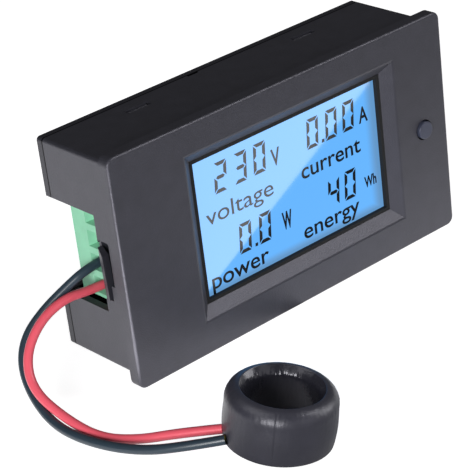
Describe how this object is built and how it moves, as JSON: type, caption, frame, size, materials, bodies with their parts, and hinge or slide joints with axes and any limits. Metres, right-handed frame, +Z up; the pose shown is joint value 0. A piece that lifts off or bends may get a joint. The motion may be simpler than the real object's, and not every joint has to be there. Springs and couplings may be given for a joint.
{
  "type": "panel power meter",
  "caption": "Flush panel AC power meter: bezel with backlit display and push button, box body with snap tongues and screw terminal, ring current transformer on loose leads.",
  "frame": {"origin": "middle of the panel cut-out, in the plane of the flange's rear face", "axes": "+Y into the panel, away from the reader; +X to the reader's right; +Z up"},
  "size_m": [0.1111, 0.0715, 0.0496],
  "materials": {
    "housing_black": "fine spark-eroded texture",
    "button_black": "soft matt",
    "gasket_black": "foam",
    "display_front": "gloss, lit blue from behind",
    "display_glass": "clear",
    "film_white": "satin film",
    "frame_white": "moulded",
    "tinned_metal": "tinned",
    "switch_black": "moulded",
    "board_green": "solder resist",
    "screw_zinc": "zinc plated",
    "terminal_green": "moulded polyamide",
    "cage_zinc": "zinc plated",
    "chip_black": "moulded epoxy",
    "chip_capacitor": "ceramic",
    "capacitor_yellow": "boxed",
    "capacitor_sleeve": "shrink sleeve on an aluminium can",
    "varistor_blue": "lacquer",
    "resistor_body": "lacquer",
    "lead_black": "smooth insulation",
    "lead_red": "smooth insulation",
    "sleeve_black": "satin moulding",
    "potting_black": "cast resin",
    "core_grey": "wound strip",
    "copper": "enamelled wire",
    "tape_yellow": "polyester tape"
  },
  "bodies": {
    "root": {"front_housing": "housing_black", "rear_cover": "housing_black", "display_gasket": "gasket_black", "polariser_front": "display_front", "display_glass_front": "display_glass", "display_glass_rear": "display_glass", "polariser_rear": "film_white", "diffuser_film": "film_white", "light_guide": "display_glass", "reflector_film": "film_white", "display_frame": "frame_white", "backlight_lamps": "frame_white", "display_pins": "tinned_metal", "switch_body": "switch_black", "switch_dome": "tinned_metal", "switch_lid": "tinned_metal", "main_board": "board_green", "board_screws": "screw_zinc", "terminal_housing": "terminal_green", "terminal_contacts": "tinned_metal", "metering_chip": "chip_black", "microcontroller": "chip_black", "display_driver": "chip_black", "memory_chip": "chip_black", "quartz_crystal": "tinned_metal", "film_capacitor": "capacitor_yellow", "smoothing_capacitor_large": "capacitor_sleeve", "smoothing_capacitor_small": "capacitor_sleeve", "varistor": "varistor_blue", "fusible_resistor": "resistor_body", "rectifier_diodes": "chip_black", "voltage_regulator": "chip_black", "divider_resistors": "chip_black", "burden_resistors": "chip_black", "chip_capacitors": "chip_capacitor", "lead_end_black": "tinned_metal", "lead_end_red": "tinned_metal", "ct_lead_black": "lead_black", "ct_lead_red": "lead_red", "ct_sleeve": "sleeve_black", "ct_potting": "potting_black", "ct_core": "core_grey", "ct_winding": "copper", "ct_tape": "tape_yellow"},
    "button": {"button_cap": "button_black", "switch_plunger": "switch_black"},
    "left_tongue": {"snap_tongue_left": "housing_black"},
    "right_tongue": {"snap_tongue_right": "housing_black"},
    "clamp_screw_1": {"terminal_screw_1": "screw_zinc"},
    "clamp_cage_1": {"terminal_cage_1": "cage_zinc"},
    "clamp_screw_2": {"terminal_screw_2": "screw_zinc"},
    "clamp_cage_2": {"terminal_cage_2": "cage_zinc"},
    "clamp_screw_3": {"terminal_screw_3": "screw_zinc"},
    "clamp_cage_3": {"terminal_cage_3": "cage_zinc"},
    "clamp_screw_4": {"terminal_screw_4": "screw_zinc"},
    "clamp_cage_4": {"terminal_cage_4": "cage_zinc"}
  },
  "joints": [
    {"name": "button_press", "type": "slide", "parent": "root", "child": "button", "axis": [0, 1, 0], "range_m": [0, 0.0004], "stiffness_N_per_m": 1500, "springref_m": -0.0001},
    {"name": "left_tongue_flex", "type": "hinge", "parent": "root", "child": "left_tongue", "pos_m": [-0.0427, 0.0046, -0.0076], "axis": [0, 1, 0], "range_deg": [0, 8], "stiffness_Nm_per_rad": 0.05, "springref_deg": -0.57},
    {"name": "right_tongue_flex", "type": "hinge", "parent": "root", "child": "right_tongue", "pos_m": [0.0427, 0.0046, -0.0076], "axis": [0, -1, 0], "range_deg": [0, 8], "stiffness_Nm_per_rad": 0.05, "springref_deg": -0.57},
    {"name": "cage_1_lift", "type": "slide", "parent": "root", "child": "clamp_cage_1", "axis": [0, 1, 0], "range_m": [0, 0.0018]},
    {"name": "screw_1_turn", "type": "hinge", "parent": "root", "child": "clamp_screw_1", "pos_m": [-0.03615, 0.0162, 0.00762], "axis": [0, 1, 0], "range_deg": [-1441, 0]},
    {"name": "cage_2_lift", "type": "slide", "parent": "root", "child": "clamp_cage_2", "axis": [0, 1, 0], "range_m": [0, 0.0018]},
    {"name": "screw_2_turn", "type": "hinge", "parent": "root", "child": "clamp_screw_2", "pos_m": [-0.03615, 0.0162, 0.00254], "axis": [0, 1, 0], "range_deg": [-1441, 0]},
    {"name": "cage_3_lift", "type": "slide", "parent": "root", "child": "clamp_cage_3", "axis": [0, 1, 0], "range_m": [-0.0018, 0]},
    {"name": "screw_3_turn", "type": "hinge", "parent": "root", "child": "clamp_screw_3", "pos_m": [-0.03615, 0.0162, -0.00254], "axis": [0, 1, 0], "range_deg": [0, 1441]},
    {"name": "cage_4_lift", "type": "slide", "parent": "root", "child": "clamp_cage_4", "axis": [0, 1, 0], "range_m": [-0.0018, 0]},
    {"name": "screw_4_turn", "type": "hinge", "parent": "root", "child": "clamp_screw_4", "pos_m": [-0.03615, 0.0162, -0.00762], "axis": [0, 1, 0], "range_deg": [0, 1441]}
  ],
  "couplings": [
    {"joint": "screw_1_turn", "follows": "cage_1_lift", "rad_per_m": -13963},
    {"joint": "screw_2_turn", "follows": "cage_2_lift", "rad_per_m": -13963},
    {"joint": "screw_3_turn", "follows": "cage_3_lift", "rad_per_m": -13963},
    {"joint": "screw_4_turn", "follows": "cage_4_lift", "rad_per_m": -13963}
  ]
}
